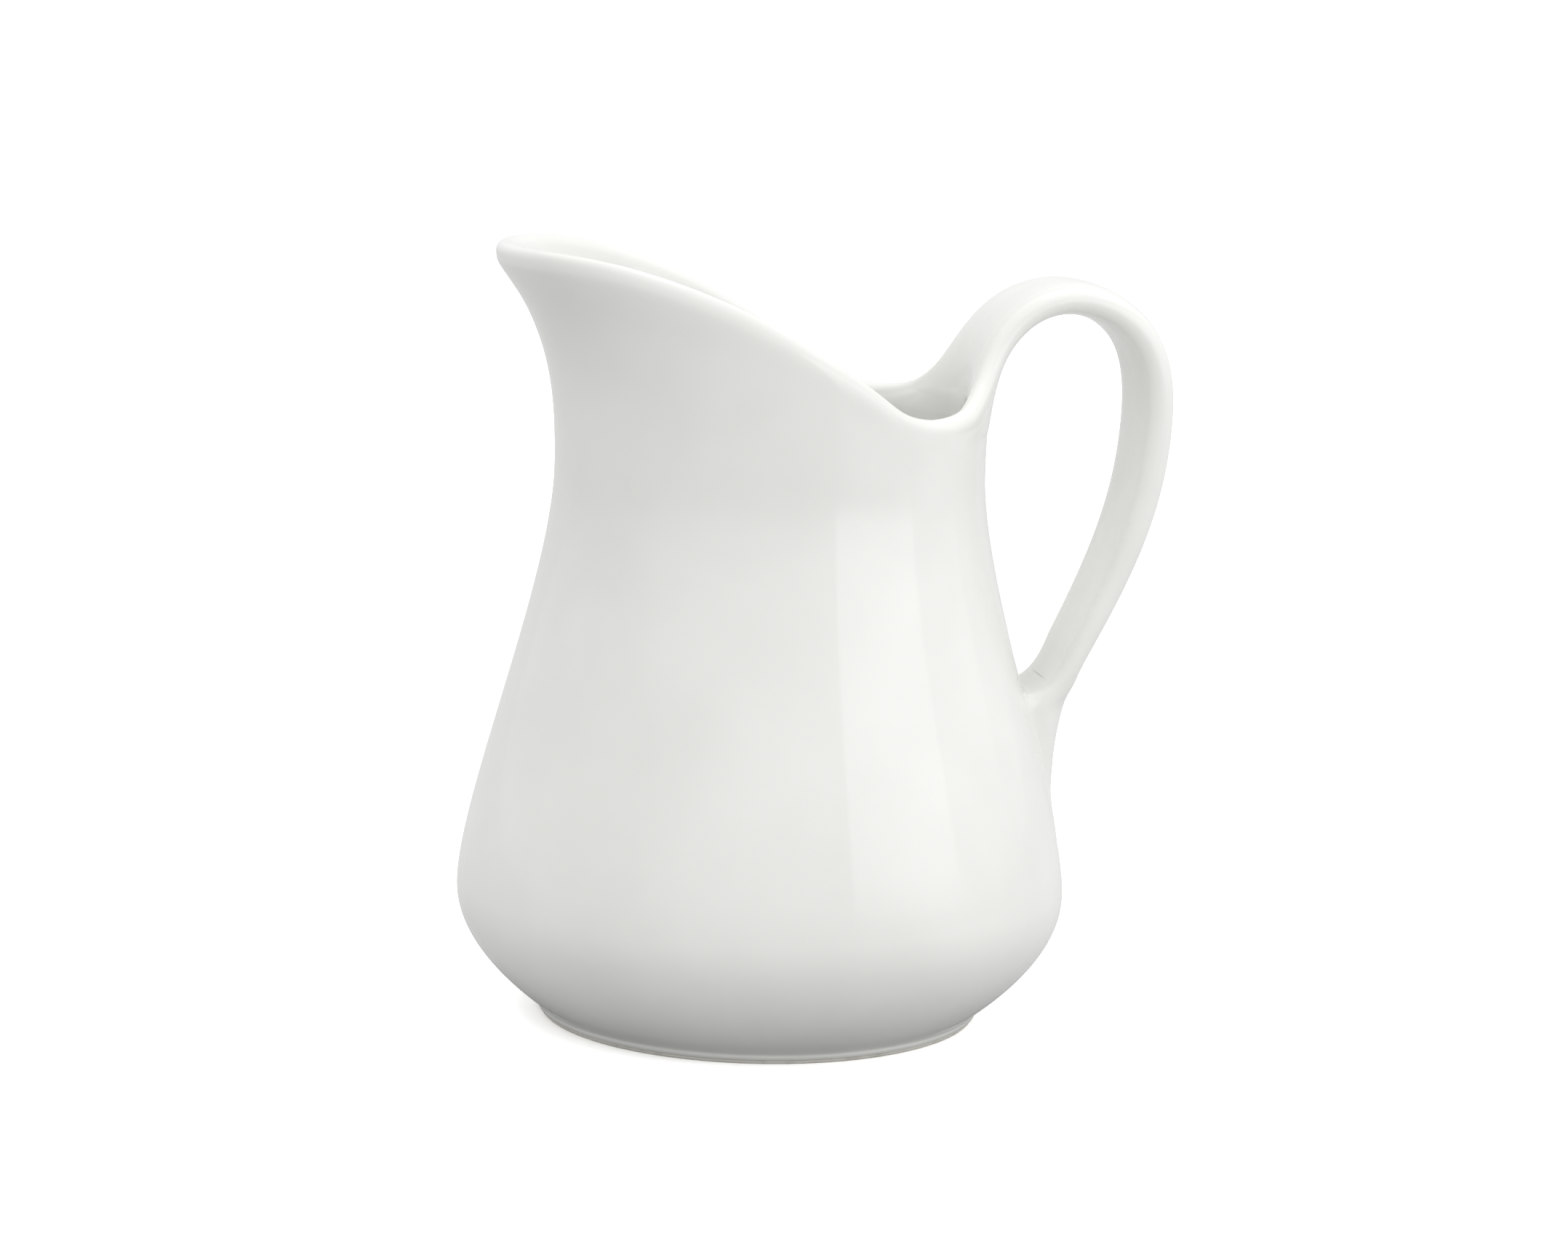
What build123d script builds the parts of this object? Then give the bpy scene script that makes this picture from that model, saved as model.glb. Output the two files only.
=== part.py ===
from build123d import *
import os
from math import copysign, cos, exp, pi, radians, sin, sqrt

# Ceramic pitcher, in millimetres. +Z is up, the spout points to -X and the handle to +X.
# The origin is the centre of the foot ring, on the plane that it rests on.

# Foot: a bare ring that the pitcher rests on, under the body's own glazed foot
ring_height = 0.8
ring_width = 4.8
ring_inset = 0.7            # the glaze stands this much proud of the ring, outside and inside
ring_edge = 0.35            # rounding of the ring's resting edges
foot_radius = 45.2          # outside of the body's foot
foot_height = 2.2           # top of the foot's upright side
foot_edge = 0.6             # rounding of its lower edges
underside_height = 3.6      # the glazed underside, inside the foot

# Turned body
belly_radius = 62.0
belly_height = 26.0
belly_fullness = 17.0       # how far the belly's curve holds its width on the way up
neck_radius = 43.5
neck_height = 112.0
neck_length = 23.0          # how far below the neck its curve is nearly upright
haunch_pull = (4.3, 3.3)    # direction and strength of the curve as it leaves the foot
haunch_fullness = 11.5      # how far the belly's curve holds its width on the way down
wall = 5.0
floor_thickness = 5.4
floor_radius = 30.0         # flat part of the inside

# Mouth: an oval that widens to front and back above the neck
spout_rise = 45.6           # from the neck up to the spout's tip
spout_flare = 16.7          # how much further out than the neck it reaches
spout_pull = 1.0            # how early the flare starts
mouth_spread = 0.7          # how much the mouth widens to its sides
low_rim_rise = 12.0         # from the neck up to the rim beside the handle
low_rim_margin = 2.0        # degrees round the rim from the handle's root to its lowest point
level_length = 16.2         # the rim is nearly level from the tip back to here
level_drop = 0.6
slope = ((0.389, 0.733), (0.764, 0.264))  # the rim's way down: shares of its length and of its height
lip_round = 1.9

# Handle: a strap, measured along the middle of its thickness
slip_thickness = 0.5        # fired slip between the castings
root_angle = 45.0           # half the angle that the handle's root covers on the rim
root_flare = 0.036          # how soon the root narrows, as a share of the strap's length
root_bend = 0.1             # how soon the root loses the wall's curve, as a share too
arch_rise = 23.2            # from the low rim up to the top of the arch
arch_span = 18.0            # from the root out to there
arch_root = (2.7, 11.2)     # a point on the way up: outwards from the root, down from the top
arch_shoulder = (9.5, 3.2)  # another: back from the top, down from it
arch_fall = (14.6, 7.2)     # and one beyond the top: outwards and down
grip_span = 18.6            # from the top of the arch out to the strap's furthest reach
grip_drop = 26.2            # and down
limb_high = (2.7, 17.0)     # the lower limb, in from that and down
limb_low = (11.8, 41.0)     # and further down
fork_rise = 39.0            # where the strap meets the body, above the belly's widest
fork_stand = 6.6            # the strap's middle off the body there
tail_rise = 19.0            # the tail's end, above the belly's widest
tail_depth = 1.6            # the strap's middle inside the belly's surface, at the tail's end
arch_width = 27.5
tail_width = 20.0
arch_thickness = 6.5
tail_thickness = 4.7
grip_swell = 1.75           # how much thicker than even the strap is midway, where it is held
edge_fullness = 0.75        # 1 is an elliptical section, less is squarer

# How finely the lofted shapes are made
half_points = 12            # spans on half of a strap section's outline
strap_spans = 14
root_crowding = 1.6         # more crowds the strap's sections towards its root
mouth_spans = 8
lean_step = 0.01            # share of the mouth's height that the wall's lean is taken over
reach_tolerance = 1e-6      # how closely the belly's reach at a height is found, as a share
overrun = 0.1               # how far a shape runs past the one that trims it, as a share

# What follows from them
low_rim_height = neck_height + low_rim_rise
spout_height = neck_height + spout_rise
low_rim_reach = (neck_radius - wall / 2) * cos(radians(root_angle + low_rim_margin))
level_reach = level_length - neck_radius - spout_flare
arch_height = low_rim_height + arch_rise
grip_height = arch_height - grip_drop
ring_radius = foot_radius - ring_inset


def bezier(values, t):
    """One coordinate of a cubic Bezier curve at t, from 0 to 1."""
    a, b, c, d = values
    return a * (1 - t) ** 3 + 3 * b * (1 - t) ** 2 * t + 3 * c * (1 - t) * t**2 + d * t**3


def belly_edge(inset):
    """The turned body's side, from the belly up to the neck, moved in by the inset."""
    return Bezier(
        (belly_radius - inset, 0, belly_height),
        (belly_radius - inset, 0, belly_height + belly_fullness),
        (neck_radius - inset, 0, neck_height - neck_length),
        (neck_radius - inset, 0, neck_height),
    )


def haunch_edge():
    """The under-curve, from the foot up to the belly."""
    return Bezier(
        (foot_radius, 0, foot_height),
        (foot_radius + haunch_pull[0], 0, foot_height + haunch_pull[1]),
        (belly_radius, 0, belly_height - haunch_fullness),
        (belly_radius, 0, belly_height),
    )


def turned(base, edges):
    """The solid that the edges sweep about the axis, above a flat base that ends where they start."""
    centre = (0, 0, base.Z)
    high = edges[-1] @ 1
    closing = Polyline(high, (0, 0, high.Z), centre, base)
    return revolve(make_face([*edges, *closing.edges()]), Axis.Z)


def mouth_reach(t):
    """Half the mouth's length at t, from 0 at the neck to 1 at the spout's height."""
    return neck_radius + bezier((0, 0, spout_pull, spout_flare), t)


def mouth_width(t):
    return neck_radius + bezier((0, 0, 0, mouth_spread), t)


def mouth_height(t):
    return neck_height + spout_rise * t


def mouth(inset, top):
    """The mouth as a stack of ovals, moved in by the inset, up to t = top."""
    ovals = []
    for i in range(mouth_spans + 1):
        t = top * i / mouth_spans
        rise = mouth_height(t + lean_step) - mouth_height(t - lean_step)
        widening = mouth_reach(t + lean_step) - mouth_reach(t - lean_step)
        lean = widening / rise if i else 0
        level_inset = inset * sqrt(1 + lean * lean)
        oval = Ellipse(mouth_reach(t) - level_inset, mouth_width(t) - inset)
        ovals.append(Plane.XY.offset(mouth_height(t)) * oval)
    return loft(ovals)


def outer_form():
    """The pitcher's outside as one closed solid, up to past the rim."""
    under = haunch_edge()
    foot_side = Line((foot_radius, 0, ring_height), under @ 0)
    return turned(foot_side @ 0, [foot_side, under, belly_edge(0)]) + mouth(0, 1 + overrun / 2)


def hollow():
    """The inside, from the floor up to past the rim."""
    floor_height = underside_height + floor_thickness
    inner_radius = belly_radius - wall
    bowl_edge = Bezier(
        (floor_radius, 0, floor_height),
        (inner_radius - wall, 0, floor_height),
        (inner_radius, 0, belly_height - haunch_fullness),
        (inner_radius, 0, belly_height),
    )
    return turned(bowl_edge @ 0, [bowl_edge, belly_edge(wall)]) + mouth(wall, 1 + overrun)


def above_rim():
    """Everything above the rim's line in side view, level behind its lowest point."""
    far = 2 * (neck_radius + spout_flare)
    top = spout_height + far
    slope_length = low_rim_reach - level_reach
    slope_points = [(level_reach + slope_length * x, 0, low_rim_height + (spout_height - low_rim_height) * z)
                    for x, z in slope]
    rim = Spline(
        (-neck_radius - spout_flare - wall, 0, spout_height),
        (level_reach, 0, spout_height - level_drop),
        *slope_points,
        (low_rim_reach, 0, low_rim_height),
        tangents=[(1, 0, 0), (1, 0, 0)],
    )
    corners = [(far, 0, low_rim_height), (far, 0, top), (-far, 0, top), (-far, 0, spout_height)]
    closing = Polyline(rim @ 1, *corners, rim @ 0)
    return extrude(make_face([rim, *closing.edges()]), belly_radius, both=True)


def vessel_body():
    body = outer_form() - hollow() - above_rim()
    lip = [e for e in body.edges() if e.center().Z > low_rim_height + wall and e.length > 2 * wall]
    body = fillet(lip, lip_round)
    inside = ring_radius - ring_width - ring_inset
    recess = Cylinder(inside, underside_height, align=(Align.CENTER, Align.CENTER, Align.MIN))
    body = body - recess
    foot_edges = body.edges().filter_by(GeomType.CIRCLE).group_by(Axis.Z)[0]
    return fillet(foot_edges, foot_edge)


def foot_ring():
    bottom = Plane.XY * (Circle(ring_radius) - Circle(ring_radius - ring_width))
    ring = extrude(bottom, ring_height)
    resting_edges = ring.edges().filter_by(GeomType.CIRCLE).group_by(Axis.Z)[0]
    return fillet(resting_edges, ring_edge)


def belly_reach(height):
    """The turned body's outer radius at a height between the belly and the neck."""
    heights = (belly_height, belly_height + belly_fullness, neck_height - neck_length, neck_height)
    low, high = 0.0, 1.0
    while high - low > reach_tolerance:
        middle = (low + high) / 2
        if bezier(heights, middle) < height:
            low = middle
        else:
            high = middle
    return bezier((belly_radius, belly_radius, neck_radius, neck_radius), low)


def root_reach():
    """From the axis to the middle of the wall at the low rim."""
    return mouth_reach(low_rim_rise / spout_rise) - wall / 2


def strap_path():
    """The middle of the strap in side view, from the rim round to the end of the tail."""
    root = root_reach()
    arch = root + arch_span
    grip = arch + grip_span
    fork_height = belly_height + fork_rise
    tail_height = belly_height + tail_rise
    return Spline(
        (root, 0, low_rim_height),
        (root + arch_root[0], 0, arch_height - arch_root[1]),
        (arch - arch_shoulder[0], 0, arch_height - arch_shoulder[1]),
        (arch, 0, arch_height),
        (arch + arch_fall[0], 0, arch_height - arch_fall[1]),
        (grip, 0, grip_height),
        (grip - limb_high[0], 0, grip_height - limb_high[1]),
        (grip - limb_low[0], 0, grip_height - limb_low[1]),
        (belly_reach(fork_height) + fork_stand, 0, fork_height),
        (belly_reach(tail_height) - tail_depth, 0, tail_height),
    )


def strap_section(path, share, wall_root):
    """The strap's outline at a share of the path, bent about the body's axis near the root."""
    middle = path @ share
    along = path % share if share else Vector(0, 0, 1)
    to_gap = Vector(along.Z, 0, -along.X)
    flare = exp(-share / root_flare)
    half_width = (arch_width + (tail_width - arch_width) * share) / 2
    half_width += (wall_root * radians(root_angle) - arch_width / 2) * flare
    thickness = arch_thickness + (tail_thickness - arch_thickness) * share
    half_thickness = (thickness + grip_swell * sin(pi * share) ** 2) / 2
    half_thickness += (wall - arch_thickness) / 2 * flare
    bend_radius = wall_root * exp(share / root_bend)

    def outline_point(turn):
        across = half_width * copysign(abs(cos(turn)) ** edge_fullness, cos(turn))
        through = half_thickness * copysign(abs(sin(turn)) ** edge_fullness, sin(turn))
        bend = across / bend_radius
        outwards = (bend_radius + through) * cos(bend) - bend_radius
        return middle + to_gap * outwards + Vector(0, (bend_radius + through) * sin(bend), 0)

    turns = [pi * (i / half_points - 0.5) for i in range(half_points + 1)]
    near = Spline(*[outline_point(turn) for turn in turns])
    far = Spline(*[outline_point(turn + pi) for turn in turns])
    return make_face([near, far])


def whole_strap():
    """The strap from the plane of the low rim to the end of the tail inside the wall."""
    path = strap_path()
    wall_root = root_reach()
    shares = [(i / strap_spans) ** root_crowding for i in range(strap_spans + 1)]
    return loft([strap_section(path, share, wall_root) for share in shares])


def belly_form(grown):
    """The turned body above its widest, filled, and grown by an amount."""
    side = belly_edge(-grown)
    return turned(side @ 0, [side])


def root_slab():
    """The layer on the low rim that the slip under the handle's root fills."""
    reach = root_reach() + 2 * wall
    slab = Cylinder(reach, slip_thickness, align=(Align.CENTER, Align.CENTER, Align.MIN))
    return Pos(0, 0, low_rim_height) * slab


strap = whole_strap()
root_layer = root_slab()
belly_outside = belly_form(0)
belly_with_slip = belly_form(slip_thickness)
parts = {
    "vessel_body": vessel_body(),
    "foot_ring": foot_ring(),
    "handle": strap - root_layer - belly_with_slip,
    "upper_joint_slip": strap & root_layer,
    "lower_joint_slip": (strap & belly_with_slip) - belly_outside,
}

os.makedirs("parts", exist_ok=True)
for name, part in parts.items():
    export_step(part, f"parts/{name}.step")
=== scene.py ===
from math import cos, exp, pi, radians, sin, sqrt

import bmesh
import bpy
import numpy as np
from mathutils import Matrix, Vector


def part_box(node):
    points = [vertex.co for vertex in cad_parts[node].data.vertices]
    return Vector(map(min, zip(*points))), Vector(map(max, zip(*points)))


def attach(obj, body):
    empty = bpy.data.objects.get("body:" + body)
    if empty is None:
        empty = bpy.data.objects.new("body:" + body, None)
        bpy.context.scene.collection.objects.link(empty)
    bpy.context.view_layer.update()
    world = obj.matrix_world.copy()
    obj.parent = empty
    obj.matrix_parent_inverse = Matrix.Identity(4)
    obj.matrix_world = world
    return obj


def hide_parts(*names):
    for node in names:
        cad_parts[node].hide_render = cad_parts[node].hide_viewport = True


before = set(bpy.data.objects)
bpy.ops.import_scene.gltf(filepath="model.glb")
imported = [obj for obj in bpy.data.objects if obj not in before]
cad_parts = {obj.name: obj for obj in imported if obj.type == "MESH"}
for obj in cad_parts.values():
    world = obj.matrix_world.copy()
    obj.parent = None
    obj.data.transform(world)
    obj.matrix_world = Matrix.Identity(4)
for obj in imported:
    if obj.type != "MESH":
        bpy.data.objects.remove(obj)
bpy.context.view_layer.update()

# A glazed porcelain pitcher. Sizes here are in millimetres until a mesh is made, then metres.
# +Z is up, the spout points to -X and the handle to +X.
mm = 0.001
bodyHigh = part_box("vessel_body")[1] / mm
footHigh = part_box("foot_ring")[1] / mm

jug = {
    "bellyRadius": bodyHigh.y,
    "bellyHeight": 26.0,
    "bellyFullness": 17.0,  # how far the belly keeps its width on the way up
    "neckRadius": 43.5,
    "neckHeight": 112.0,
    "sheetStart": 100.0,  # from here up the wall is made as the middle of its thickness
    "neckLength": 23.0,  # how far below the neck the side is nearly upright
    "footRadius": footHigh.x + 0.7,  # the glaze stands a little proud of the bare ring
    "footSide": 2.2,  # top of the foot's upright side
    "glazeLine": footHigh.z,  # bare clay below, glaze above
    "haunchPull": (4.3, 3.3),
    "haunchFullness": 11.5,
    "wall": 5.0,
    "recessRadius": footHigh.x - 5.5,
    "recessHeight": 3.6,
    # roundings under the foot, each a step outwards and upwards from the corner that it softens
    "recessEdge": [(-3.0, 0.0), (-0.9, -0.12), (-0.15, -0.7)],
    "innerEdge": [(0.0, 0.8), (0.15, 0.2), (0.6, 0.0)],
    "outerEdge": [(-0.7, 0.0), (-0.2, 0.2), (0.0, 0.7)],
    "sideTop": (0.1, -0.1),
    "floorHeight": 9.0,
    "floorRadius": 30.0,
    "spoutHeight": 157.6,
    "spoutReach": 60.2,
    "spoutPull": 1.0,
    "mouthHalfWidth": 44.2,
    "lipDepth": 4.3,  # how far down the lip is rounded
    "lipFills": (60.0, 105.0),  # degrees from the handle between which it comes to that depth
}
# the rim in side view: (x, height), from the spout's tip back to the low point beside the handle
rimLine = [(-70.0, 157.6), (-56.0, 157.6), (-44.0, 157.1), (-31.5, 154.6), (-16.0, 148.9),
           (-1.4, 141.2), (11.0, 133.2), (20.5, 126.2), (27.5, 122.8), (60.0, 122.6)]

strap = {
    "lowHeight": 120.1,  # the middle of the lip at the rim's low point
    "slipStart": 3.9,  # from there to the fired slip under the handle's root
    "slipThickness": 0.5,
    "edgeAngle": 49.5,  # half the angle of wall that flows up into the strap
    "edgeFade": (6.3, 0.9),  # how soon the wide root narrows on the way up, and how evenly
    "bendFade": (18.0, 1.6),  # how soon the root loses the wall's curve, and how evenly
    "bendsBack": (0.55, 0.85),  # shares of its length between which it takes up the belly's curve
    "rootPoint": (2.6, 11.2),  # out from the root, and down from the arch's top
    "shoulder": (9.5, 3.2),  # back from the arch's top, and down
    "fall": (4.0, 7.2),  # in from the furthest reach, and down from the arch's top
    "limbHigh": (2.7, 17.0),  # in from the furthest reach, and down from it
    "limbLow": (11.8, 41.0),
    "archReach": 59.5,
    "archHeight": 147.2,
    "gripReach": 78.1,
    "gripHeight": 121.0,
    "forkHeight": 65.0,
    "forkStand": 6.6,
    "tailHeight": 45.0,
    "tailDepth": 1.6,
    "archWidth": 27.5,
    "tailWidth": 20.4,
    "archThickness": 6.5,
    "tailThickness": 4.7,
    "gripSwell": 1.75,  # thicker midway, where it is held
    "edgeDepth": 3.2,  # how much of the width the rounded edge takes
    "crown": 2.67,  # section of the strap: 2 is an ellipse, more is squarer
}
ridge = {  # the tail's back, where it runs out over the belly
    "slitHeight": 64.3,
    "halfWidth": 10.4,
    "endHeight": 31.0,  # where it has sunk into the belly
}
mesh = {
    "across": 9,  # columns from the handle's middle to its edge, on its flat faces
    "edge": 3,  # and from there to the middle of its rounded edge
    "side": 25,  # columns from the handle's edge to the spout
    "sideCrowding": (0.85, 2.2),  # how much closer they are beside the tail, and for how many columns
    "gatherHigh": 72.0,  # from here up the columns spread from the tail's width to the root's
    "gatherLow": (8.0, 34.0),  # and between these heights they spread again towards the foot
    "poleRadius": 1.5,  # of the flat faces in the middle of the underside and the floor
    "undersideRings": (14, 27),
    "floorRings": (20, 10),
    "haunchRings": (0.1, 11),  # where the first lies on the haunch's curve, and how many
    "bellyRings": 14,
    "shoulderRings": 12,
    "insideRings": 21,
    "bowlRings": (0.9, 9),
    "mouthRows": 10,
    "strapSteps": (1.1, 1.12, 3.6),  # from row to row of the strap: the first, its growth, the longest
    "tailShare": 0.6,  # the strap can meet the belly only past this share of its length
    "gapLeft": 1.0,  # and does so where its gap face is this close
    "slitClear": 2.0,  # or its back is this much above the slit
    "levels": 2,
}
across, edge, side = mesh["across"], mesh["edge"], mesh["side"]
halfCount = across + side
columns = 2 * halfCount
tipColumn = across + edge


def bezier(values, t):
    a, b, c, d = values
    return a * (1 - t) ** 3 + 3 * b * (1 - t) ** 2 * t + 3 * c * (1 - t) * t**2 + d * t**3


def smooth(low, high, value):
    t = min(max((value - low) / (high - low), 0.0), 1.0)
    return t * t * (3 - 2 * t)


def solve(function, target, low, high):  # where a rising function reaches the target
    for _ in range(40):
        middle = (low + high) / 2
        if function(middle) < target:
            low = middle
        else:
            high = middle
    return low


# The turned body
def bellyRadiusAt(height, inset=0.0):
    full = jug["bellyHeight"] + jug["bellyFullness"]
    slim = jug["neckHeight"] - jug["neckLength"]
    heights = (jug["bellyHeight"], full, slim, jug["neckHeight"])
    t = solve(lambda s: bezier(heights, s), height, 0.0, 1.0)
    wide, narrow = jug["bellyRadius"] - inset, jug["neckRadius"] - inset
    return bezier((wide, wide, narrow, narrow), t)


def haunchPoint(t):
    foot, line = jug["footRadius"], jug["footSide"]
    pull = jug["haunchPull"]
    radius = bezier((foot, foot + pull[0], jug["bellyRadius"], jug["bellyRadius"]), t)
    belly = jug["bellyHeight"]
    height = bezier((line, line + pull[1], belly - jug["haunchFullness"], belly), t)
    return radius, height


def bowlPoint(t):
    inner = jug["bellyRadius"] - jug["wall"]
    radius = bezier((jug["floorRadius"], inner - jug["wall"], inner, inner), t)
    height = bezier((jug["floorHeight"], jug["floorHeight"], jug["bellyHeight"] - jug["haunchFullness"],
                     jug["bellyHeight"]), t)
    return radius, height


# The mouth, as the middle of its wall
def mouthReach(height):
    neck = jug["neckRadius"]
    if height < jug["neckHeight"]:
        return bellyRadiusAt(height)
    t = (height - jug["neckHeight"]) / (jug["spoutHeight"] - jug["neckHeight"])
    return bezier((neck, neck, neck + jug["spoutPull"], jug["spoutReach"]), t)


def mouthWidth(height):
    neck = jug["neckRadius"]
    if height < jug["neckHeight"]:
        return bellyRadiusAt(height)
    t = (height - jug["neckHeight"]) / (jug["spoutHeight"] - jug["neckHeight"])
    return bezier((neck, neck, neck, jug["mouthHalfWidth"]), t)


def mouthMiddle(angle, height):
    half = jug["wall"] / 2
    lean = mouthReach(height + 0.5) - mouthReach(height - 0.5)
    sideLean = mouthWidth(height + 0.5) - mouthWidth(height - 0.5)
    reach = mouthReach(height) - half * sqrt(1 + lean * lean)
    width = mouthWidth(height) - half * sqrt(1 + sideLean * sideLean)
    return np.array((reach * cos(angle), width * sin(angle), height))


def rimHeight(x):  # a cubic through the rim line's points, level at both ends
    points = rimLine
    slopes = [0.0]
    for before, after in zip(points, points[2:]):
        slopes.append((after[1] - before[1]) / (after[0] - before[0]))
    slopes.append(0.0)
    for i in range(len(points) - 1):
        (x0, z0), (x1, z1) = points[i], points[i + 1]
        if x <= x1:
            span = x1 - x0
            t = (x - x0) / span
            pull0, pull1 = z0 + slopes[i] * span / 3, z1 - slopes[i + 1] * span / 3
            return bezier((z0, pull0, pull1, z1), t)
    return points[-1][1]


def lipDepth(angle):  # fuller away from the handle
    slim = jug["wall"] / 2
    start, end = (radians(turn) for turn in jug["lipFills"])
    return slim + (jug["lipDepth"] - slim) * smooth(start, end, abs(angle))


def lipMiddle(angle):  # where the lip starts to round over
    height = rimHeight(0.0)
    for _ in range(30):
        x = mouthMiddle(angle, height)[0]
        height = 0.5 * height + 0.5 * (rimHeight(x) - lipDepth(angle))
    return height


# The columns are even round the rim, and drawn together to the strap's width at the tail.
def rootAngle(column):
    flat = radians(strap["edgeAngle"]) / across
    count = abs(column)
    if count <= across:
        angle = flat * count
    else:
        angle = flat * across + (pi - flat * across) * (count - across) / side
    return angle if column >= 0 else -angle


def edgeShare(column, halfWidth):  # how far out a section's point is, from 0 to the half width
    count = min(abs(column), tipColumn)
    flat = halfWidth - strap["edgeDepth"]
    if count <= across:
        return flat * count / across
    return flat + strap["edgeDepth"] * sin(pi / 2 * (count - across) / edge)


def tailAngle(column, radius):
    count = abs(column)
    tip = ridge["halfWidth"] / radius
    if count <= tipColumn:
        angle = edgeShare(column, ridge["halfWidth"]) / radius
    else:
        closer, reach = mesh["sideCrowding"]
        steps = [1 - closer * exp(-i / reach) for i in range(halfCount - tipColumn)]
        angle = tip + (pi - tip) * sum(steps[: count - tipColumn]) / sum(steps)
    return angle if column >= 0 else -angle


def columnAngle(column, height, radius):
    pinch = smooth(jug["sheetStart"], mesh["gatherHigh"], height) * smooth(*mesh["gatherLow"], height)
    return rootAngle(column) + (tailAngle(column, radius) - rootAngle(column)) * pinch


# A natural cubic spline through the points, as a function of the length along them.
def smoothLine(points):
    p = np.array(points, float)
    knots = np.concatenate([[0.0], np.cumsum(np.linalg.norm(np.diff(p, axis=0), axis=1))])
    gaps, count = np.diff(knots), len(p)
    system, right = np.eye(count), np.zeros_like(p)
    for i in range(1, count - 1):
        system[i, i - 1: i + 2] = gaps[i - 1], 2 * (gaps[i - 1] + gaps[i]), gaps[i]
        right[i] = 6 * ((p[i + 1] - p[i]) / gaps[i] - (p[i] - p[i - 1]) / gaps[i - 1])
    bends = np.linalg.solve(system, right)

    def at(length):
        i = int(np.clip(np.searchsorted(knots, length) - 1, 0, count - 2))
        a, b = (knots[i + 1] - length) / gaps[i], (length - knots[i]) / gaps[i]
        curved = (a**3 - a) * bends[i] + (b**3 - b) * bends[i + 1]
        return a * p[i] + b * p[i + 1] + curved * gaps[i] ** 2 / 6

    return at, knots[-1]


rootReach = mouthReach(strap["lowHeight"]) - jug["wall"] / 2
strapLine, strapLength = smoothLine([
    (rootReach, strap["lowHeight"]),
    (rootReach + strap["rootPoint"][0], strap["archHeight"] - strap["rootPoint"][1]),
    (strap["archReach"] - strap["shoulder"][0], strap["archHeight"] - strap["shoulder"][1]),
    (strap["archReach"], strap["archHeight"]),
    (strap["gripReach"] - strap["fall"][0], strap["archHeight"] - strap["fall"][1]),
    (strap["gripReach"], strap["gripHeight"]),
    (strap["gripReach"] - strap["limbHigh"][0], strap["gripHeight"] - strap["limbHigh"][1]),
    (strap["gripReach"] - strap["limbLow"][0], strap["gripHeight"] - strap["limbLow"][1]),
    (bellyRadiusAt(strap["forkHeight"]) + strap["forkStand"], strap["forkHeight"]),
    (bellyRadiusAt(strap["tailHeight"]) - strap["tailDepth"], strap["tailHeight"]),
])


def strapFrame(length):
    middle = strapLine(length)
    along = strapLine(length + 0.05) - strapLine(length - 0.05)
    along /= np.linalg.norm(along)
    return middle, np.array((along[1], -along[0]))  # the second points into the finger gap


def rootShare(length):
    reach, evenness = strap["edgeFade"]
    return exp(-((length / reach) ** evenness))


def strapWidth(length):
    share = length / strapLength
    plain = (strap["archWidth"] + (strap["tailWidth"] - strap["archWidth"]) * share) / 2
    wide = rootReach * radians(strap["edgeAngle"]) + edgeDepth(length)
    return plain + (wide - plain) * rootShare(length)


def edgeDepth(length):
    return strap["edgeDepth"] + (jug["wall"] / 2 - strap["edgeDepth"]) * rootShare(length)


def strapHalfThickness(length, share):  # share is 0 at the strap's middle and 1 at its tip
    along = length / strapLength
    plain = (strap["archThickness"] + (strap["tailThickness"] - strap["archThickness"]) * along) / 2
    plain += strap["gripSwell"] / 2 * sin(pi * along) ** 2
    crowned = plain * (1 - abs(share) ** strap["crown"]) ** (1 / strap["crown"])
    return crowned + (jug["wall"] / 2 - crowned) * rootShare(length)


nearlyStraight = 1e-5  # a curve per millimetre that stands for none


def strapMiddle(length, column):
    middle, toGap = strapFrame(length)
    out = (strapWidth(length) - edgeDepth(length)) * column / across
    reach, evenness = strap["bendFade"]
    curl = exp(-((length / reach) ** evenness)) / rootReach
    curl -= smooth(*strap["bendsBack"], length / strapLength) / bellyRadiusAt(strap["forkHeight"])
    if abs(curl) < nearlyStraight:
        curl = nearlyStraight
    shift = (cos(out * curl) - 1) / curl
    return np.array((middle[0] + toGap[0] * shift, sin(out * curl) / curl, middle[1] + toGap[1] * shift))


def backPoint(length):  # on the strap's back, in side view
    middle, toGap = strapFrame(length)
    return middle - toGap * strapHalfThickness(length, 0)


def strapStops():  # rows along the strap, close together at the root, until it reaches the belly
    start = strap["slipStart"]
    stops = [start / 3, 2 * start / 3, start, start + strap["slipThickness"]]
    step, growth, longest = mesh["strapSteps"]
    length, slit = stops[-1], ridge["slitHeight"] + mesh["slitClear"]
    while True:
        length += step
        step = min(step * growth, longest)
        middle, toGap = strapFrame(length)
        inner = middle + toGap * strapHalfThickness(length, 0)
        met = inner[0] - bellyRadiusAt(inner[1]) < mesh["gapLeft"] or backPoint(length)[1] < slit
        if length > mesh["tailShare"] * strapLength and met:
            return stops
        stops.append(length)


# The sheet that the mouth and the strap are, as the middle of its thickness
rows = mesh["mouthRows"]
stops = strapStops()
slipRow = 3  # the slip under the handle's root lies between this row of the strap and the next


def sheetKeys():
    mouthKeys = [("mouth", k, c) for k in range(rows + 1) for c in range(1 - halfCount, halfCount + 1)]
    strapKeys = [("strap", s, c) for s in range(1, len(stops) + 1) for c in range(-across, across + 1)]
    return mouthKeys + strapKeys


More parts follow.
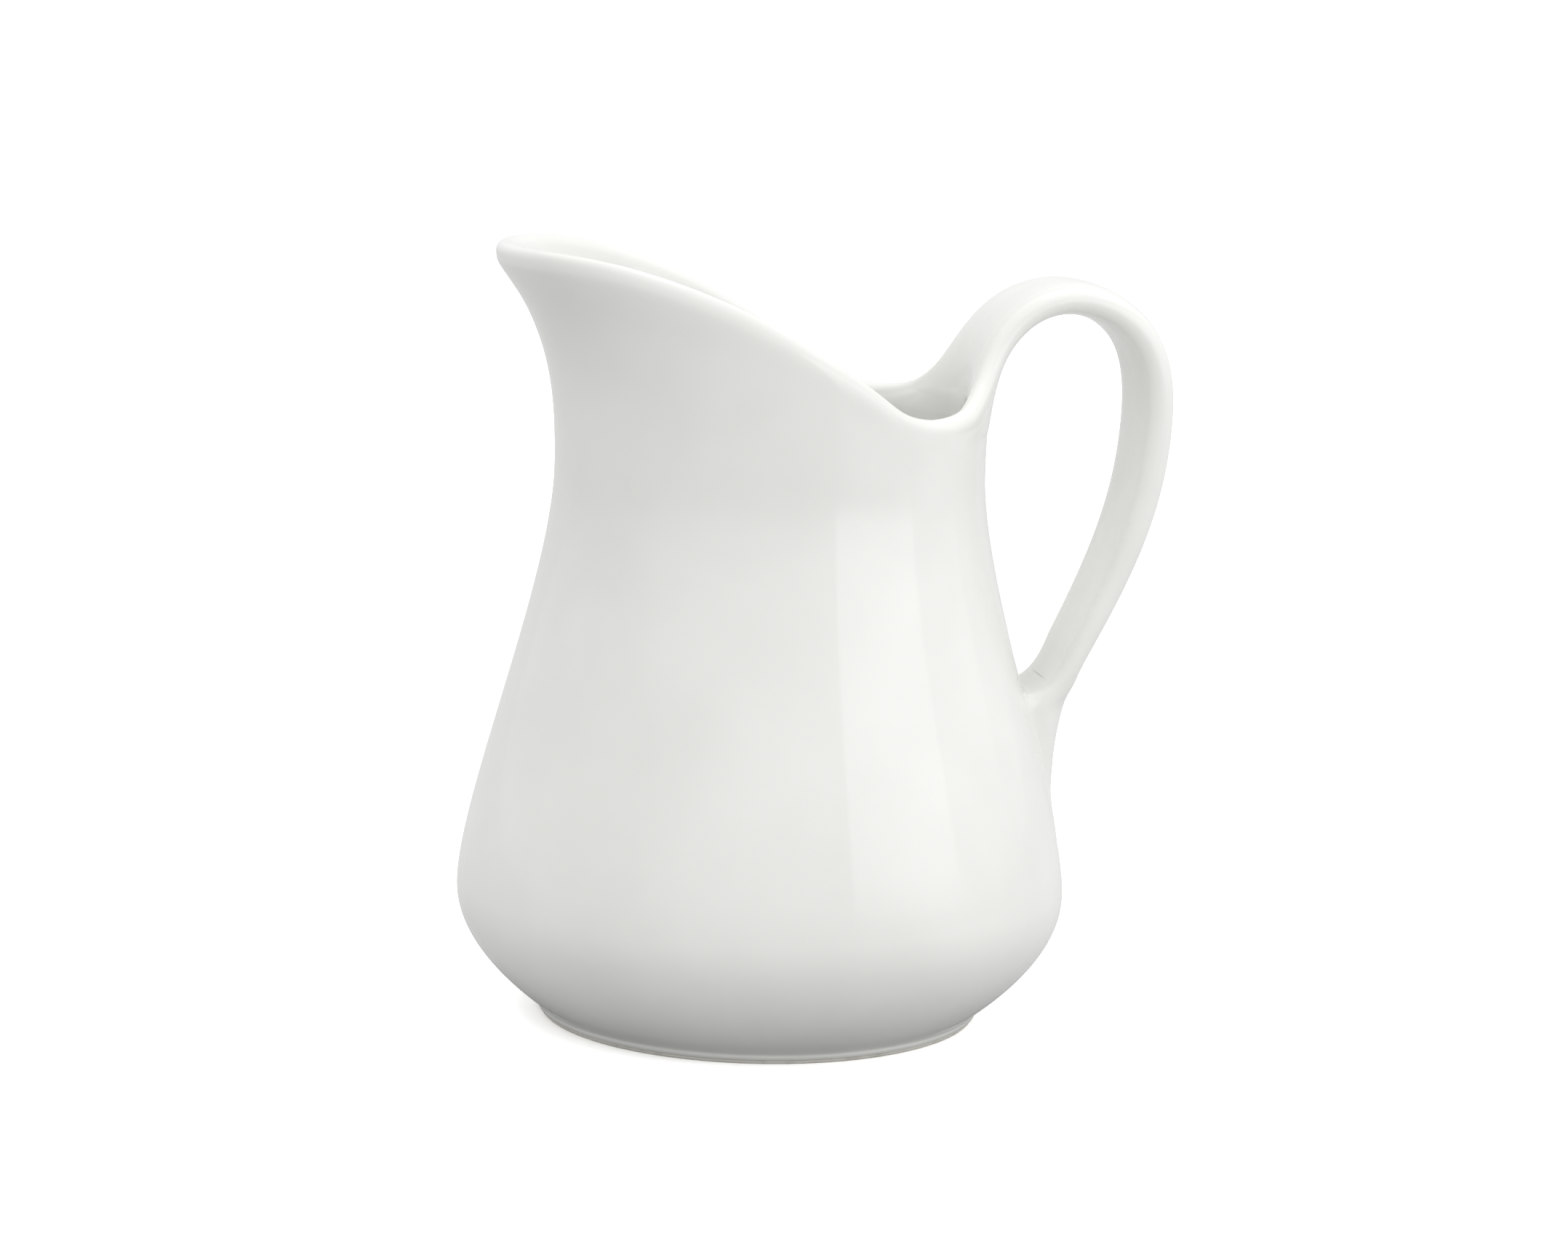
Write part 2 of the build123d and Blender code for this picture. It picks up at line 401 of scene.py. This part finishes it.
def sheetPoint(key):
    kind, row, column = key
    if kind == "strap":
        return strapMiddle(stops[row - 1], column)
    angle = rootAngle(column)
    top = lipMiddle(rootAngle(max(abs(column), across)))
    height = jug["sheetStart"] + (top - jug["sheetStart"]) * row / rows
    return mouthMiddle(angle, height)


def wrapped(column):
    return (column + halfCount - 1) % columns - halfCount + 1


def strapKey(row, column):
    return ("strap", row, column) if row else ("mouth", rows, column)


def sheetFaces():
    faces = []
    for k in range(rows):
        for c in range(1 - halfCount, halfCount + 1):
            d = wrapped(c + 1)
            faces.append((("mouth", k, c), ("mouth", k, d), ("mouth", k + 1, d), ("mouth", k + 1, c)))
    for s in range(len(stops)):
        for c in range(-across, across):
            faces.append((strapKey(s, c), strapKey(s, c + 1), strapKey(s + 1, c + 1), strapKey(s + 1, c)))
    return faces


def edgeChain():  # along the sheet's free edge: down the strap, round the spout and up the other side
    chain = [("strap", s, across) for s in range(len(stops), 0, -1)]
    chain += [("mouth", rows, c) for c in range(across, halfCount + 1)]
    chain += [("mouth", rows, c) for c in range(1 - halfCount, 1 - across)]
    return chain + [("strap", s, -across) for s in range(1, len(stops) + 1)]


# Evens out the sheet round the rim's two low points, where the wall turns up into the strap.
def relaxSheet(points, faces, chain, rounds=14, reach=9.0):
    corners = [points["mouth", rows, across].copy(), points["mouth", rows, -across].copy()]
    neighbours = {}
    for face in faces:
        for a, b in zip(face, face[1:] + face[:1]):
            neighbours.setdefault(a, set()).add(b)
            neighbours.setdefault(b, set()).add(a)
    place = {key: i for i, key in enumerate(chain)}
    for _ in range(rounds):
        moved = {}
        for key, point in points.items():
            near = min(np.linalg.norm(point - corner) for corner in corners)
            if near > 2.5 * reach or key[:2] == ("mouth", 0):
                continue
            if key in place:
                beside = [points[chain[place[key] - 1]], points[chain[place[key] + 1]]]
            else:
                beside = [points[other] for other in sorted(neighbours[key])]
            pull = 0.5 * exp(-((near / reach) ** 2))
            moved[key] = point + (np.mean(beside, axis=0) - point) * pull
        points.update(moved)


def sheetNormals(points, faces):  # they point to the outside of the wall and into the finger gap
    normals = {key: np.zeros(3) for key in points}
    for face in faces:
        a, b, c, d = (points[key] for key in face)
        facing = np.cross(c - a, d - b)
        for key in face:
            normals[key] += facing
    return {key: n / np.linalg.norm(n) for key, n in normals.items()}


# The cage is a closed mesh of quads that the glazed surface is smoothed from.
cage = {"points": [], "faces": [], "parts": [], "crease": []}
bodyPart, handlePart, upperSlipPart, lowerSlipPart = range(4)


def addPoint(point):
    cage["points"].append(np.array(point, float))
    return len(cage["points"]) - 1


def addFace(corners, part):
    cage["faces"].append(tuple(corners))
    cage["parts"].append(part)


def ring(radius, height):
    angles = [columnAngle(c, height, radius) for c in range(1 - halfCount, halfCount + 1)]
    ids = [addPoint((radius * cos(a), radius * sin(a), height)) for a in angles]
    return dict(zip(range(1 - halfCount, halfCount + 1), ids))


# From the middle of the underside out to the foot, and up the belly to the sheet's start.
def outerRings():
    foot, line, side = jug["footRadius"], jug["glazeLine"], jug["footSide"]
    inner, high = jug["recessRadius"], jug["recessHeight"]
    profile = [(radius, high) for radius in (mesh["poleRadius"], *mesh["undersideRings"])]
    profile += [(inner + out, high + up) for out, up in jug["recessEdge"]]
    profile += [(inner + out, line + up) for out, up in jug["innerEdge"]]
    profile += [((inner + foot) / 2, line)]
    profile += [(foot + out, line + up) for out, up in jug["outerEdge"]]
    profile += [(foot + jug["sideTop"][0], side + jug["sideTop"][1])]
    footRings = len(profile)
    first, count = mesh["haunchRings"]
    profile += [haunchPoint(t) for t in np.linspace(first, 1.0, count)]
    slit, belly, start = ridge["slitHeight"], jug["bellyHeight"], jug["sheetStart"]
    below = np.linspace(belly, slit, mesh["bellyRings"])[1:]
    above = np.linspace(slit, start, mesh["shoulderRings"])[1:]
    profile += [(bellyRadiusAt(z), z) for z in [*below, *above]]
    rings = [ring(radius, height) for radius, height in profile]
    heights = [height for radius, height in profile]
    return rings, heights, heights.index(slit), footRings


def backStand(height):  # how proud of the belly the strap's back is
    end = backPoint(strapLength)
    if height <= end[1]:
        return (end[0] - bellyRadiusAt(end[1])) * smooth(ridge["endHeight"], end[1], height)
    share = mesh["tailShare"]
    length = solve(lambda reach: -backPoint(reach)[1], -height, share * strapLength, strapLength)
    return backPoint(length)[0] - bellyRadiusAt(height)


def ridgePoint(column, height):  # on the tail's back
    share = edgeShare(column, ridge["halfWidth"]) / ridge["halfWidth"]
    radius = bellyRadiusAt(height)
    proud = backStand(height) * max(0.0, 1 - share ** strap["crown"]) ** (1 / strap["crown"])
    angle = tailAngle(column, radius)
    return np.array(((radius + proud) * cos(angle), (radius + proud) * sin(angle), height))


# From the sheet's start down the inside to the middle of the floor.
def innerRings():
    inset = jug["wall"]
    heights = np.linspace(jug["sheetStart"], jug["bellyHeight"], mesh["insideRings"])
    profile = [(bellyRadiusAt(z, inset), z) for z in heights]
    profile += [bowlPoint(t) for t in np.linspace(mesh["bowlRings"][0], 0.0, mesh["bowlRings"][1])]
    profile += [(radius, jug["floorHeight"]) for radius in (*mesh["floorRings"], mesh["poleRadius"])]
    rings = []
    for radius, height in profile:
        angles = {c: rootAngle(c) for c in range(1 - halfCount, halfCount + 1)}
        rings.append({c: addPoint((radius * cos(a), radius * sin(a), height))
                      for c, a in angles.items()})
    return rings


def joinRings(low, high, part=bodyPart, span=None, flip=False):
    span = span or range(1 - halfCount, halfCount + 1)
    for c in span:
        d = wrapped(c + 1)
        corners = (low[c], low[d], high[d], high[c])
        addFace(corners[::-1] if flip else corners, part)


def strapPart(row):  # which piece the rows of faces above a row of the strap belong to
    if row < slipRow:
        return bodyPart
    return upperSlipPart if row == slipRow else handlePart


def buildCage():
    rings, heights, slitRow, footRings = outerRings()
    inside = innerRings()
    addFace([rings[0][c] for c in range(halfCount, -halfCount, -1)], bodyPart)
    addFace([inside[-1][c] for c in range(1 - halfCount, halfCount + 1)], bodyPart)
    for upper, lower in zip(inside, inside[1:]):
        joinRings(lower, upper, flip=True)

    # the slit in the belly's rings that the strap's tail comes out of
    endRow = next(i for i, z in enumerate(heights) if z > ridge["endHeight"] and i > footRings)
    lowerLip = dict(rings[slitRow])
    for c in range(1 - tipColumn, tipColumn):
        lowerLip[c] = addPoint(ridgePoint(c, ridge["slitHeight"]))
    for i in range(endRow, slitRow):
        for c in range(-tipColumn, tipColumn + 1):
            cage["points"][rings[i][c]] = ridgePoint(c, heights[i])
    tail = range(-tipColumn, tipColumn)
    rim = range(-tipColumn - 1, tipColumn + 1)
    for i, (low, high) in enumerate(zip(rings, rings[1:])):
        high = lowerLip if i + 1 == slitRow else high
        for c in range(1 - halfCount, halfCount + 1):
            part = bodyPart
            if c in rim and endRow - 1 <= i <= slitRow:
                part = handlePart if c in tail and endRow <= i < slitRow else lowerSlipPart
            joinRings(low, high, part, [c])

    # the sheet's two faces
    faces = sheetFaces()
    chain = edgeChain()
    middle = {key: sheetPoint(key) for key in sheetKeys()}
    relaxSheet(middle, faces, chain)
    normals = sheetNormals(middle, faces)

    def halfThickness(key):
        if key[0] == "mouth":
            return jug["wall"] / 2
        length = stops[key[1] - 1]
        share = abs(key[2]) / across * (1 - edgeDepth(length) / strapWidth(length))
        return strapHalfThickness(length, share)

    outer, inner = {}, {}
    for key in middle:
        if key[:2] == ("mouth", 0):
            outer[key], inner[key] = rings[-1][key[2]], inside[0][key[2]]
        else:
            outer[key] = addPoint(middle[key] + normals[key] * halfThickness(key))
            inner[key] = addPoint(middle[key] - normals[key] * halfThickness(key))
    for face in faces:
        part = strapPart(face[2][1] - 1) if face[2][0] == "strap" else bodyPart
        addFace([outer[key] for key in face], part)
        addFace([inner[key] for key in reversed(face)], part)

    # the rounded edge, from the outer face over to the inner one
    strip = []
    for i, key in enumerate(chain):
        before, after = middle[chain[max(i - 1, 0)]], middle[chain[min(i + 1, len(chain) - 1)]]
        out = np.cross(normals[key], after - before)
        out /= np.linalg.norm(out)
        depth = edgeDepth(stops[key[1] - 1]) if key[0] == "strap" else lipDepth(rootAngle(key[2]))
        ids = [outer[key]]
        for m in range(1, 2 * edge):
            turn = pi / 2 * (1 - m / edge)
            away = out * depth * cos(turn) + normals[key] * halfThickness(key) * sin(turn)
            ids.append(addPoint(middle[key] + away))
        strip.append(ids + [inner[key]])
    for i in range(len(chain) - 1):
        keys = [key for key in chain[i: i + 2] if key[0] == "strap"]
        part = strapPart(min(stop[1] for stop in keys) - (len(keys) == 1)) if keys else bodyPart
        for m in range(2 * edge):
            addFace((strip[i][m], strip[i + 1][m], strip[i + 1][m + 1], strip[i][m + 1]), part)

    # the strap's end joins the slit: its gap face to the belly above, its back to the ridge below
    last = len(stops)
    gapEnd = {c: outer["strap", last, c] for c in range(-across, across + 1)}
    backEnd = {c: inner["strap", last, c] for c in range(-across, across + 1)}
    for m in range(1, edge + 1):
        gapEnd[across + m], gapEnd[-across - m] = strip[0][m], strip[-1][m]
        backEnd[across + m], backEnd[-across - m] = strip[0][2 * edge - m], strip[-1][2 * edge - m]
    for c in tail:
        addFace((rings[slitRow][c + 1], rings[slitRow][c], gapEnd[c], gapEnd[c + 1]), lowerSlipPart)
        addFace((lowerLip[c], lowerLip[c + 1], backEnd[c + 1], backEnd[c]), handlePart)
    for i in range(endRow, slitRow + 1):
        cage["crease"] += [rings[i][-tipColumn], rings[i][tipColumn]]
    cage["crease"] += [rings[slitRow][c] for c in tail] + [gapEnd[c] for c in tail]


buildCage()
print("cage:", len(cage["points"]), "points,", len(cage["faces"]), "faces")


def around(points, faces):  # for each point, its quads, and the sums that smoothing it needs
    count, beside, opposites = np.zeros(len(points)), np.zeros_like(points), np.zeros_like(points)
    for i in range(4):
        here, after, opposite, before = (faces[:, (i + n) % 4] for n in range(4))
        np.add.at(count, here, 1)
        np.add.at(beside, here, points[after] + points[before])
        np.add.at(opposites, here, points[opposite])
    return count, beside, opposites


# The little fillet of slip where the tail meets the belly
def softenCrease(points, faces, rounds=3, reach=2.2):
    crease = points[sorted(set(cage["crease"]))]
    distance = np.min(np.linalg.norm(points[:, None] - crease[None], axis=2), axis=1)
    pull = 0.6 * np.exp(-((distance / reach) ** 2))[:, None]
    for _ in range(rounds):
        count, beside, _ = around(points, faces)
        mean = beside / (2 * np.maximum(count, 1))[:, None]
        points = points + (mean - points) * pull
    return points


# Moves the cage's points so that the smoothed surface passes through where they were.
def pushThrough(points, faces, rounds=4):
    target = points.copy()
    for _ in range(rounds):
        count, beside, opposites = around(points, faces)
        n = np.maximum(count, 1)[:, None]
        smoothed = (n**2 * points + 2 * beside + opposites) / (n**2 + 5 * n)
        points = points + np.where(count[:, None] > 2, target - smoothed, 0.0)
    return points


def smoothedCage():
    points = np.array(cage["points"])
    quads = np.array([face for face in cage["faces"] if len(face) == 4])
    points = pushThrough(softenCrease(points, quads), quads)
    data = bpy.data.meshes.new("glazedCage")
    data.from_pydata([tuple(point) for point in points * mm], [], cage["faces"])
    data.polygons.foreach_set("material_index", cage["parts"])
    for _ in range(4):
        data.materials.append(None)
    item = bpy.data.objects.new("glazedCage", data)
    bpy.context.scene.collection.objects.link(item)
    modifier = item.modifiers.new("smooth", "SUBSURF")
    modifier.levels = modifier.render_levels = mesh["levels"]
    bpy.context.view_layer.update()
    shape = item.evaluated_get(bpy.context.evaluated_depsgraph_get()).to_mesh()
    places = np.zeros(len(shape.vertices) * 3)
    shape.vertices.foreach_get("co", places)
    normals = np.zeros(len(shape.vertices) * 3)
    shape.vertex_normals.foreach_get("vector", normals)
    faces = [tuple(face.vertices) for face in shape.polygons]
    parts = [face.material_index for face in shape.polygons]
    item.evaluated_get(bpy.context.evaluated_depsgraph_get()).to_mesh_clear()
    bpy.data.objects.remove(item)
    return places.reshape(-1, 3), normals.reshape(-1, 3), faces, parts


def openLoops(faces):  # the loops of free edges that a part's faces leave, in the faces' own direction
    edges = {(a, b) for face in faces for a, b in zip(face, face[1:] + face[:1])}
    after = {a: b for a, b in edges if (b, a) not in edges}
    loops = []
    while after:
        start, loop = next(iter(after)), []
        step = start
        while step in after:
            loop.append(step)
            step = after.pop(step)
        loops.append(loop)
    return loops


# Closes a loop with quads from side to side, from its lowest point, or its far edge if it is level.
def ladder(loop, places):
    rises = np.ptp(places[loop][:, 2]) > 2.5 * jug["wall"] * mm
    key = -places[loop][:, 1]
    if rises:
        key = places[loop][:, 2] + 0.05 * abs(places[loop][:, 1])
    first = int(np.argmin(key))
    loop = loop[first:] + loop[:first]
    loop = [loop[0]] + loop[:0:-1]  # against the faces' direction, so that the cap faces outwards
    half = len(loop) // 2
    caps = [(loop[0], loop[1], loop[-1])]
    for k in range(1, half - 1):
        caps.append((loop[k], loop[k + 1], loop[-k - 1], loop[-k]))
    return caps + [(loop[half - 1], loop[half], loop[half + 1])]


# A closed piece of the glazed surface, shaded as the whole surface is, so that no seam shows.
def cutPiece(name, part, surface, material):
    places, normals, faces, parts = surface
    own = [face for face, owner in zip(faces, parts) if owner == part]
    caps = [cap for loop in openLoops(own) for cap in ladder(loop, places)]
    used = sorted({v for face in own for v in face})
    place = {v: i for i, v in enumerate(used)}
    data = bpy.data.meshes.new(name)
    faces = [[place[v] for v in face] for face in own + caps]
    data.from_pydata([tuple(places[v]) for v in used], [], faces)
    data.polygons.foreach_set("use_smooth", [True] * len(data.polygons))
    shading = [tuple(normals[v]) for face in own for v in face]
    for face in data.polygons[len(own):]:
        shading += [tuple(face.normal)] * face.loop_total
    data.normals_split_custom_set(shading)
    data.materials.append(material)
    item = bpy.data.objects.new(name, data)
    bpy.context.scene.collection.objects.link(item)
    return item


def linear(code):  # an sRGB hex value as linear light
    channels = [int(code[i: i + 2], 16) / 255 for i in (1, 3, 5)]
    return [c / 12.92 if c <= 0.04045 else ((c + 0.055) / 1.055) ** 2.4 for c in channels] + [1.0]


# Adds a node. Settings are its inputs by name or number, or its own properties. Links go from
# its inputs to other nodes' outputs.
def addNode(tree, kind, settings=None, links=None):
    node = tree.nodes.new("ShaderNode" + kind)
    for name, value in (settings or {}).items():
        if isinstance(name, str) and hasattr(node, name):
            setattr(node, name, value)
        else:
            node.inputs[name].default_value = value
    for name, output in (links or {}).items():
        tree.links.new(output, node.inputs[name])
    return node


def newMaterial(name):
    material = bpy.data.materials.new(name)
    material.use_nodes = True
    material.node_tree.nodes.clear()
    return material, material.node_tree


# Porcelain, slip-cast, dipped in a clear gloss glaze and fired.
# To the eye: a cool white body under glass, sharp reflections that ripple a little, and glaze that
# pools faintly.
glaze = {
    "white": "#F1F1EE",
    "pooled": "#ECEDE9",  # where the glaze lies thicker, a trace greyer and greener
    "ior": 1.5,
    "roughness": (0.045, 0.075),
    "poolSize": 26.0,  # mm across
    "poolEdge": (0.35, 0.7),  # the noise between which one turns into the other
    "rippleSize": 5.0,  # mm from crest to crest of the glaze's orange peel
    "rippleHeight": 0.004,  # mm
    "pinholeSpacing": 9.0,  # mm
    "pinholeSize": 0.16,  # mm, drawn a little larger than real ones, so that they show at all
    "pinholeDepth": 0.02,  # mm
    "pinholeStrength": 0.5,
}


def glazedPorcelain():
    material, tree = newMaterial("clearGlazedPorcelain")
    place = addNode(tree, "TexCoord").outputs["Object"]
    pools = addNode(tree, "TexNoise", {"Scale": 1 / (glaze["poolSize"] * mm), "Detail": 2.0},
                    {"Vector": place}).outputs["Fac"]
    thin, thick = glaze["poolEdge"]
    softly = addNode(tree, "MapRange", {"From Min": thin, "From Max": thick}, {"Value": pools})
    white, pooled = linear(glaze["white"]), linear(glaze["pooled"])
    colour = addNode(tree, "Mix", {"data_type": "RGBA", 6: white, 7: pooled},
                     {0: softly.outputs["Result"]})
    low, high = glaze["roughness"]
    gloss = addNode(tree, "MapRange", {"To Min": low, "To Max": high}, {"Value": pools})
    ripple = addNode(tree, "TexNoise", {"Scale": 1 / (glaze["rippleSize"] * mm), "Detail": 1.0},
                     {"Vector": place})
    rippled = addNode(tree, "Bump", {"Strength": 1.0, "Distance": glaze["rippleHeight"] * mm},
                      {"Height": ripple.outputs["Fac"]})
    holes = addNode(tree, "TexVoronoi", {"Scale": 1 / (glaze["pinholeSpacing"] * mm)},
                    {"Vector": place})
    size = glaze["pinholeSize"] / glaze["pinholeSpacing"]
    pits = addNode(tree, "MapRange", {"From Min": 0.0, "From Max": size},
                   {"Value": holes.outputs["Distance"]})
    depth, strength = glaze["pinholeDepth"] * mm, glaze["pinholeStrength"]
    pitted = addNode(tree, "Bump", {"Strength": strength, "Distance": depth},
                     {"Height": pits.outputs["Result"], "Normal": rippled.outputs["Normal"]})
    shader = addNode(tree, "BsdfPrincipled", {"IOR": glaze["ior"]},
                     {"Base Color": colour.outputs[2], "Roughness": gloss.outputs["Result"],
                      "Normal": pitted.outputs["Normal"]})
    addNode(tree, "OutputMaterial", None, {"Surface": shader.outputs["BSDF"]})
    return material


# Bare porcelain, wiped clean of glaze before firing and rubbed smooth after it.
# To the eye: warmer, chalky and without gloss, with a fine grain and small grey marks from use.
bisque = {
    "clay": "#E9E6DE",
    "mark": "#CFCBC1",
    "ior": 1.5,
    "roughness": (0.55, 0.75),
    "grainSize": 0.35,  # mm, coarser than real porcelain's, so that it shows
    "grainHeight": 0.015,  # mm
    "markSize": 4.0,  # mm
    "markEdge": (0.52, 0.75),
}


def barePorcelain():
    material, tree = newMaterial("barePorcelain")
    place = addNode(tree, "TexCoord").outputs["Object"]
    grain = addNode(tree, "TexNoise", {"Scale": 1 / (bisque["grainSize"] * mm), "Detail": 2.0},
                    {"Vector": place}).outputs["Fac"]
    marks = addNode(tree, "TexNoise", {"Scale": 1 / (bisque["markSize"] * mm), "Detail": 4.0},
                    {"Vector": place}).outputs["Fac"]
    clean, marked = bisque["markEdge"]
    worn = addNode(tree, "MapRange", {"From Min": clean, "From Max": marked}, {"Value": marks})
    clay, mark = linear(bisque["clay"]), linear(bisque["mark"])
    colour = addNode(tree, "Mix", {"data_type": "RGBA", 6: clay, 7: mark},
                     {0: worn.outputs["Result"]})
    low, high = bisque["roughness"]
    rough = addNode(tree, "MapRange", {"To Min": low, "To Max": high}, {"Value": grain})
    bump = addNode(tree, "Bump", {"Strength": 1.0, "Distance": bisque["grainHeight"] * mm},
                   {"Height": grain})
    shader = addNode(tree, "BsdfPrincipled", {"IOR": bisque["ior"]},
                     {"Base Color": colour.outputs[2], "Roughness": rough.outputs["Result"],
                      "Normal": bump.outputs["Normal"]})
    addNode(tree, "OutputMaterial", None, {"Surface": shader.outputs["BSDF"]})
    return material


surface = smoothedCage()
print("glazed surface:", len(surface[2]), "faces")
porcelain = glazedPorcelain()
pieces = [("jugBody", bodyPart, "vessel_body"), ("strapHandle", handlePart, "handle"),
          ("rootSlip", upperSlipPart, "upper_joint_slip"), ("tailSlip", lowerSlipPart, "lower_joint_slip")]
for name, part, node in pieces:
    piece = cutPiece(name, part, surface, porcelain)
    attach(piece, "root")
    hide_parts(node)
    print(name, len(piece.data.polygons), "faces")


foot = {
    "width": 4.8,
    "edge": 0.35,  # rounding of the resting edges
    "topEdge": 0.05,
    "steps": 160,
}


# Turned from its section, with rounded resting edges
def footRing(material):
    outside, high = footHigh.x, footHigh.z
    inside, edging = outside - foot["width"], foot["edge"]
    section = [(inside + foot["topEdge"], high), (inside, high - foot["topEdge"]), (inside, edging)]
    section += [(inside + edging * (1 - cos(t)), edging * (1 - sin(t)))
                for t in np.linspace(pi / 8, pi / 2, 4)]
    section += [(outside - edging * (1 - sin(t)), edging * (1 - cos(t)))
                for t in np.linspace(0, pi / 2, 5)]
    section += [(outside, high - foot["topEdge"]), (outside - foot["topEdge"], high)]
    form = bmesh.new()
    turns = []
    for i in range(foot["steps"]):
        angle = 2 * pi * i / foot["steps"]
        turns.append([form.verts.new((r * cos(angle) * mm, r * sin(angle) * mm, z * mm))
                      for r, z in section])
    for here, there in zip(turns, turns[1:] + turns[:1]):
        for i in range(len(section)):
            j = (i + 1) % len(section)
            form.faces.new((here[i], there[i], there[j], here[j])).smooth = True
    bmesh.ops.recalc_face_normals(form, faces=form.faces)
    data = bpy.data.meshes.new("bareFootRing")
    form.to_mesh(data)
    form.free()
    data.materials.append(material)
    item = bpy.data.objects.new("bareFootRing", data)
    bpy.context.scene.collection.objects.link(item)
    return item


ringPiece = footRing(barePorcelain())
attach(ringPiece, "root")
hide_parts("foot_ring")
print("foot ring:", len(ringPiece.data.polygons), "faces")


# Floor, lights and camera, in metres
studio = {
    "floorHalf": 12.0,  # far enough for the floor to fill the view
    "floorSeen": 2.0,  # the floor is overexposed, as on a light table
    "floorMirrored": 0.65,  # as the glaze mirrors it
    "floorBounce": 0.45,  # and the share of its light that it gives back to the jug
    "room": 0.86,  # soft light from all round
    # soft lights from above, a wide one and a small one that glints on the lip: brightness, and
    # spread in degrees
    "overhead": [(0.8, 100.0), (0.16, 18.0)],
    "boxDistance": 0.5,
    "boxHeights": (0.03, 0.36),
    # upright soft boxes side by side, right of the camera: from and to in degrees, and brightness
    "boxes": [(23.0, 67.0, 1.15), (67.0, 100.0, 0.35)],
    "boxFade": 0.3,  # share of their height over which they brighten, from the bottom up
}


def flatSheet(name, corners, material):
    form = bmesh.new()
    form.faces.new([form.verts.new(corner) for corner in corners])
    data = bpy.data.meshes.new(name)
    form.to_mesh(data)
    form.free()
    data.materials.append(material)
    item = bpy.data.objects.new(name, data)
    bpy.context.scene.collection.objects.link(item)
    return item


# Brighter to the camera than it is to the jug, so that its shadow is all that shows of it
def floorMaterial():
    material, tree = newMaterial("paperFloor")
    path = addNode(tree, "LightPath")
    bounce, mirror = studio["floorBounce"], studio["floorMirrored"]
    mirrored = addNode(tree, "MapRange", {"To Min": bounce, "To Max": mirror},
                       {"Value": path.outputs["Is Glossy Ray"]})
    tone = addNode(tree, "MapRange", {"To Max": studio["floorSeen"]},
                   {"Value": path.outputs["Is Camera Ray"], "To Min": mirrored.outputs["Result"]})
    shader = addNode(tree, "BsdfDiffuse", None, {"Color": tone.outputs["Result"]})
    addNode(tree, "OutputMaterial", None, {"Surface": shader.outputs["BSDF"]})
    return material


half = studio["floorHalf"]
corners = [(-half, -half, 0), (half, -half, 0), (half, half, 0), (-half, half, 0)]
floor = flatSheet("floor", corners, floorMaterial())

world = bpy.data.worlds.new("studio")
bpy.context.scene.world = world
world.use_nodes = True
world.node_tree.nodes["Background"].inputs["Color"].default_value = (1, 1, 1, 1)
world.node_tree.nodes["Background"].inputs["Strength"].default_value = studio["room"]

for energy, spread in studio["overhead"]:
    sun = bpy.data.lights.new("overhead", "SUN")
    sun.energy, sun.angle = energy, radians(spread)
    bpy.context.scene.collection.objects.link(bpy.data.objects.new("overhead", sun))


def softBox(name, start, end, brightness):
    distance, (low, high) = studio["boxDistance"], studio["boxHeights"]
    turn, halfTurn = radians((start + end) / 2), radians((end - start) / 2)
    light = bpy.data.lights.new(name, "AREA")
    light.shape = "RECTANGLE"
    light.size, light.size_y = 2 * distance * sin(halfTurn), high - low
    light.energy = brightness * pi * light.size * light.size_y
    light.use_nodes = True
    tree = light.node_tree
    place = addNode(tree, "TexCoord").outputs["UV"]
    upwards = addNode(tree, "SeparateXYZ", None, {0: place}).outputs["Y"]
    fade = addNode(tree, "MapRange", {"interpolation_type": "SMOOTHSTEP", "From Max": studio["boxFade"]},
                   {"Value": upwards})
    tree.links.new(fade.outputs["Result"], tree.nodes["Emission"].inputs["Strength"])
    item = bpy.data.objects.new(name, light)
    away = distance * cos(halfTurn)
    item.location = (away * sin(turn), -away * cos(turn), (low + high) / 2)
    item.rotation_euler = (pi / 2, 0.0, turn)
    bpy.context.scene.collection.objects.link(item)


for i, box in enumerate(studio["boxes"]):
    softBox(f"softBox{i + 1}", *box)

view = {
    "azimuth": -11.0,
    "elevation": 9.979,
    "roll": 1.451,
    "distance": 0.9303,
    "aim": (0.00366, 0.07934),  # to the right of the axis, and up
    "lens": 105.2,
    "sensor": 36.0,
}


def addCamera():
    turn, tilt, roll = (radians(view[name]) for name in ("azimuth", "elevation", "roll"))
    back = Vector((sin(turn) * cos(tilt), -cos(turn) * cos(tilt), sin(tilt)))
    right = Vector((cos(turn), sin(turn), 0.0))
    up = back.cross(right)
    aim = right * view["aim"][0] + Vector((0.0, 0.0, view["aim"][1]))
    across, upright = right * cos(roll) + up * sin(roll), up * cos(roll) - right * sin(roll)
    data = bpy.data.cameras.new("camera")
    data.lens, data.sensor_width, data.sensor_fit = view["lens"], view["sensor"], "HORIZONTAL"
    data.clip_start, data.clip_end = 0.01, 20.0
    item = bpy.data.objects.new("camera", data)
    bpy.context.scene.collection.objects.link(item)
    turned = Matrix((across, upright, back)).transposed().to_4x4()
    item.matrix_world = Matrix.Translation(aim + back * view["distance"]) @ turned
    bpy.context.scene.camera = item


addCamera()
bpy.context.scene.view_settings.view_transform = "Standard"
